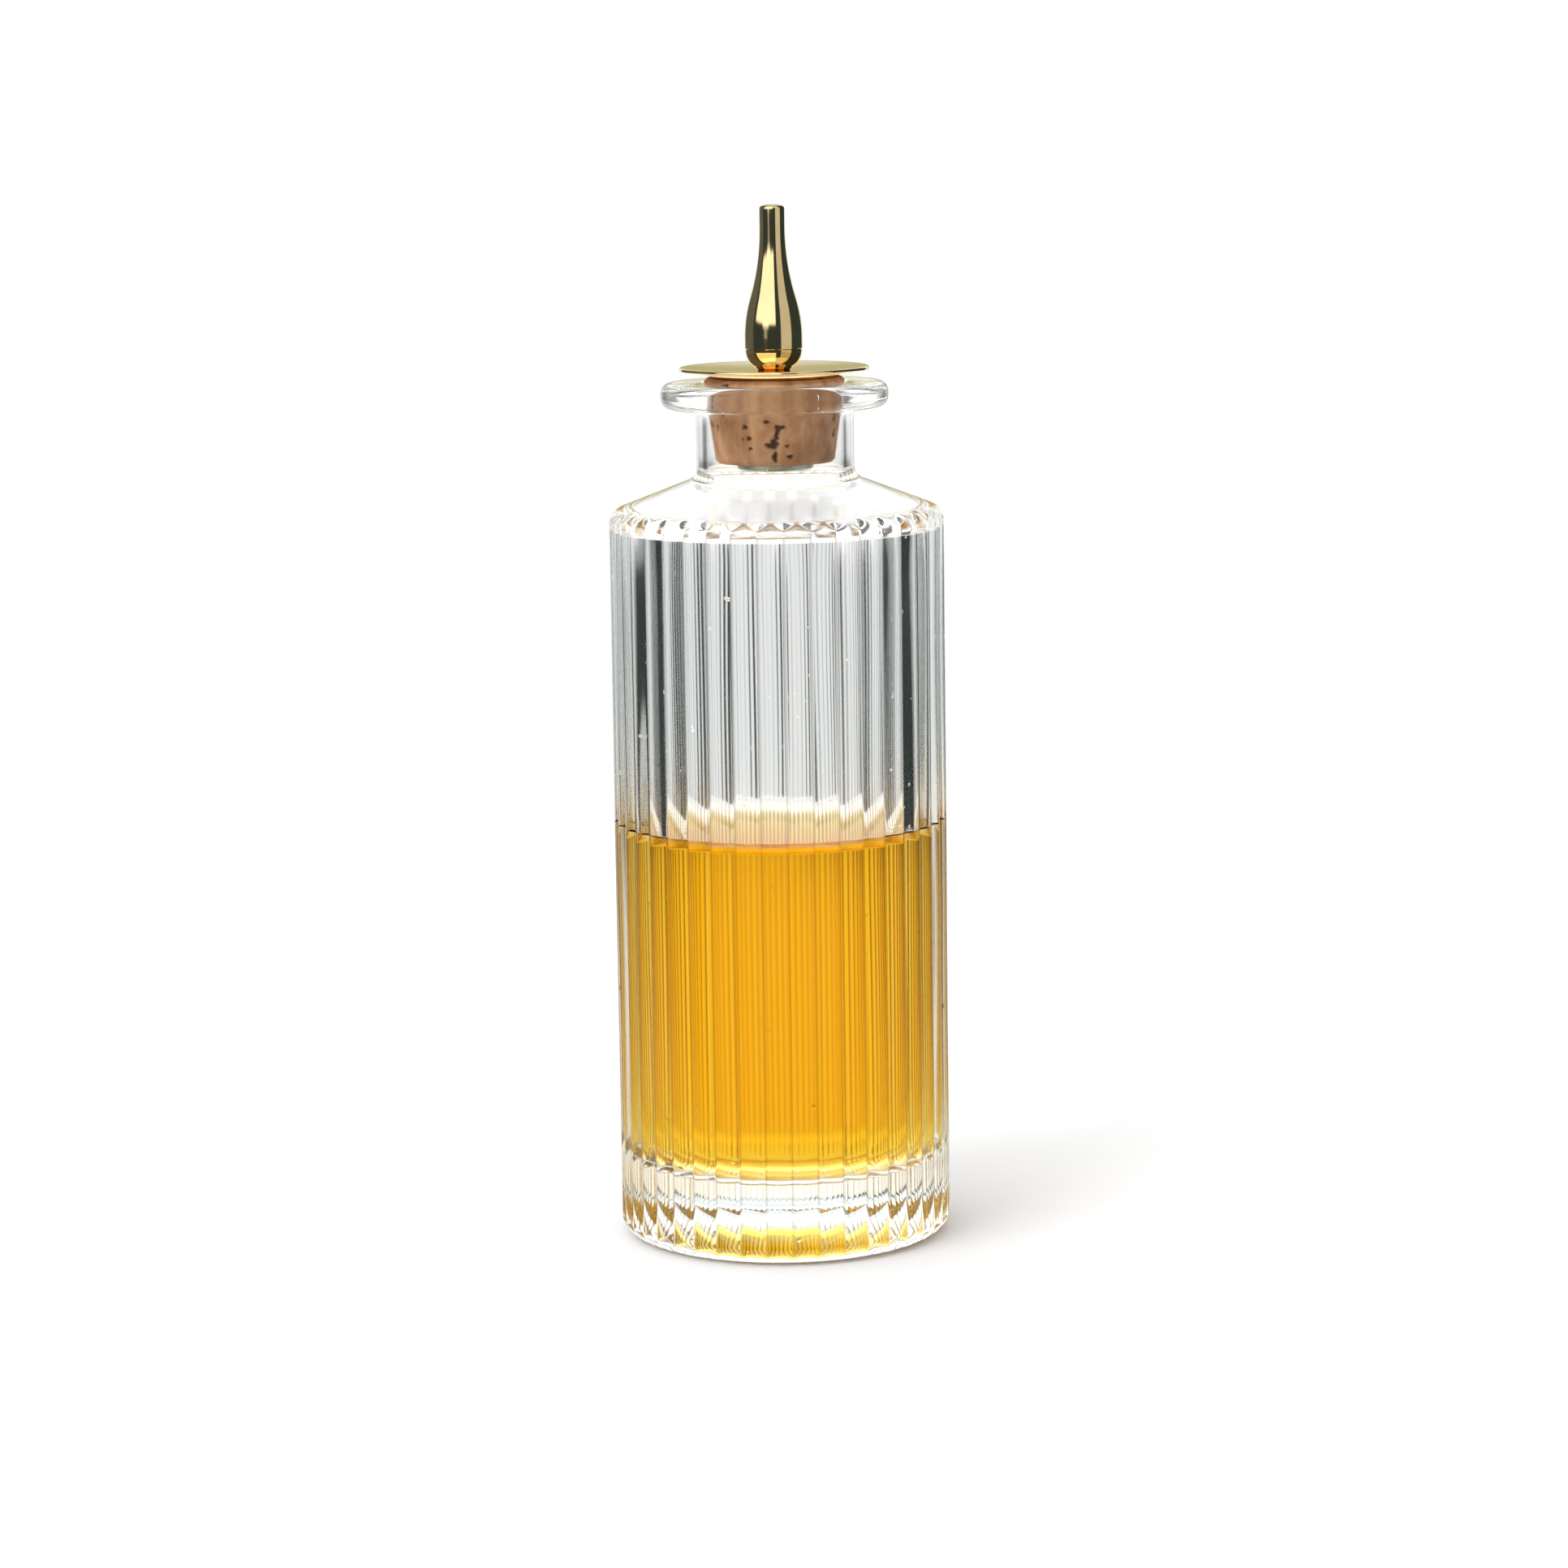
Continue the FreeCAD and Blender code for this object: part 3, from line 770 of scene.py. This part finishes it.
def light_through_glass(sky):
    """Table, backdrop and dark flanks, with ceiling and back wall above them."""
    flanks = sky.plus(sky.band(sky.behind, -110, -17, 4), sky.band(sky.behind, 22, 74, 5))
    far_flanks = sky.plus(sky.band(sky.behind, -110, -36, 4), sky.band(sky.behind, 36, 74, 4))
    aside = sky.plus(sky.rise(sky.behind, -3, -15), sky.rise(sky.behind, -1, 11))
    middle = sky.band(sky.behind, -50, 50, 10)
    lit_side = sky.band(sky.azimuth, -160, -10, 20)
    dim_side = sky.band(sky.azimuth, 10, 160, 20)
    near_table = sky.rise(sky.elevation, -21, -27)
    table_edge = sky.band(sky.elevation, -21, -9.75, 0.2)
    side_walls = sky.band(sky.elevation, -12.5, -4.4, 0.6)
    backdrop = sky.band(sky.elevation, -9.75, -5.3, 0.2)
    neck_walls = sky.band(sky.elevation, -4.4, -2.6, 0.6)
    ceiling = sky.rise(sky.elevation, -2, 7)
    back_wall = sky.band(sky.elevation, 2, 12, 2)
    back_glow = sky.band(sky.elevation, 13, 33, 2)
    light = sky.blend(near_table, (1.1, 1.1, 1.1), (1.5, 1.5, 1.5))
    for place, colour in (
        (sky.both(ceiling, lit_side), (1.9, 1.85, 1.75)),
        (sky.both(ceiling, dim_side), (0.2, 0.2, 0.22)),
        (sky.both(middle, back_wall), (0.95, 0.94, 0.92)),
        (sky.both(middle, back_glow), (2.5, 2.5, 2.5)),
        (table_edge, (1.33, 1.28, 1.2)),
        (sky.both(aside, table_edge), (1.12, 1.0, 0.86)),
        (backdrop, (0.79, 0.81, 0.8)),
        (sky.both(far_flanks, neck_walls), (0.25, 0.26, 0.25)),
        (sky.both(far_flanks, side_walls), DARK_PANEL),
        (sky.both(flanks, backdrop), DARK_PANEL),
    ):
        light = sky.blend(place, light, colour)
    return light


def light_in_gloss(sky):
    """White panels, back and table in a dark room, with a warm patch low behind the bottle."""
    back = sky.plus(sky.rise(sky.azimuth, -150, -156), sky.rise(sky.azimuth, 150, 156))
    left_wall = sky.both(sky.band(sky.azimuth, -150, -88, 8), 0.09)
    table = sky.rise(sky.elevation, -17, -21)
    warm_patch = sky.both(sky.band(sky.behind, -12, 12, 3), sky.rise(sky.elevation, 15, 4))
    lit = sky.plus(back, left_wall)
    for brightness, across, upward in GLOSS_PANELS:
        panel = sky.both(sky.band(sky.azimuth, *across), sky.band(sky.elevation, *upward))
        lit = sky.plus(lit, sky.both(panel, brightness))
    light = sky.blend(sky.compute("MAXIMUM", lit, table), (0.035, 0.05, 0.06), WHITE)
    return sky.blend(warm_patch, light, (0.5, 0.47, 0.24))


def world():
    """White to the camera, with its own light for gloss and for what is seen through glass."""
    scene = bpy.context.scene
    scene.world = bpy.data.worlds.new("studio")
    scene.world.use_nodes = True
    sky = Sky(scene.world.node_tree)
    path = sky.nodes.new("ShaderNodeLightPath")
    away_from_key = sky.rise(sky.sideways, -0.7, 0.7)
    seen = sky.blend(away_from_key, (1.35, 1.35, 1.35), (0.8, 0.8, 0.8))
    seen = sky.blend(path.outputs["Is Glossy Ray"], seen, light_in_gloss(sky))
    seen = sky.blend(path.outputs["Is Transmission Ray"], seen, light_through_glass(sky))
    seen = sky.blend(path.outputs["Is Camera Ray"], seen, WHITE)
    background = sky.nodes["Background"]
    sky.links.new(seen, background.inputs["Color"])
    background.inputs["Strength"].default_value = 1


# Floor, just under the bottle's foot
FLOOR_RADIUS = 1500
FLOOR_CORNERS = 96
FLOOR_DROP = 0.2


def floor():
    corners = []
    for angle in even_angles(FLOOR_CORNERS):
        across, away = FLOOR_RADIUS * math.cos(angle), FLOOR_RADIUS * math.sin(angle)
        corners.append(Vector((across, away, -FLOOR_DROP)) * MM)
    mesh = bpy.data.meshes.new("floor")
    mesh.from_pydata(corners, [], [list(range(FLOOR_CORNERS))])
    piece = new_object("floor", mesh)
    material, _, _, shader = new_material("pale_floor")
    shader.inputs["Base Color"].default_value = (0.97, 0.97, 0.97, 1)
    shader.inputs["Roughness"].default_value = 1
    shader.inputs["Specular IOR Level"].default_value = 0
    piece.data.materials.append(material)
    piece.visible_glossy = False
    piece.visible_transmission = False


# Key light, from the upper left in front
KEY_PLACE = Vector((-450, -500, 450))
KEY_AIM = Vector((0, 0, 70))
KEY_WIDTH = 500
KEY_WATTS = 3


def key_light():
    data = bpy.data.lights.new("key", "AREA")
    data.shape = "RECTANGLE"
    data.size = KEY_WIDTH * MM
    data.size_y = KEY_WIDTH * MM
    data.energy = KEY_WATTS
    light = new_object("key", data)
    light.location = KEY_PLACE * MM
    light.rotation_euler = (KEY_AIM - KEY_PLACE).to_track_quat("-Z", "Y").to_euler()
    light.visible_glossy = False
    light.visible_transmission = False
    light.visible_camera = False


# Camera, fitted to the photograph, whose frame is square; its angles are in degrees
FRAME_PIXELS = 1932
FOCAL_PIXELS = 5500
SENSOR_WIDTH = 36
CLIP_START = 10
CAMERA_AZIMUTH = 2.0
CAMERA_PITCH = 9
CAMERA_ROLL = 0.8
CAMERA_DISTANCE = 591
AIM_LEVEL = 59.9
AIM_ASIDE = 0.54


def camera():
    data = bpy.data.cameras.new("camera")
    data.sensor_width = SENSOR_WIDTH
    data.lens = SENSOR_WIDTH * FOCAL_PIXELS / FRAME_PIXELS
    data.clip_start = CLIP_START * MM
    eye = new_object("camera", data)
    turn = Matrix.Rotation(math.radians(CAMERA_AZIMUTH), 3, "Z")
    pitch = math.radians(CAMERA_PITCH)
    away, up = CAMERA_DISTANCE * math.cos(pitch), CAMERA_DISTANCE * math.sin(pitch)
    eye.location = (turn @ Vector((AIM_ASIDE, -away, up)) + Vector((0, 0, AIM_LEVEL))) * MM
    level = Euler((TAU / 4 - pitch, 0, 0)).to_matrix()
    roll = Matrix.Rotation(math.radians(-CAMERA_ROLL), 3, "Z")
    eye.rotation_euler = (turn @ level @ roll).to_euler()
    bpy.context.scene.camera = eye


# Bounces that light needs to pass through all the walls of glass
GLASS_BOUNCES = 32
GLOSSY_BOUNCES = 12

bpy.context.scene.view_settings.view_transform = "Standard"
bpy.context.scene.cycles.max_bounces = GLASS_BOUNCES
bpy.context.scene.cycles.transmission_bounces = GLASS_BOUNCES
bpy.context.scene.cycles.glossy_bounces = GLOSSY_BOUNCES

camera()
world()
floor()
key_light()
glass_bottle()
bitters_liquid()
cork_stopper()
dasher_top()
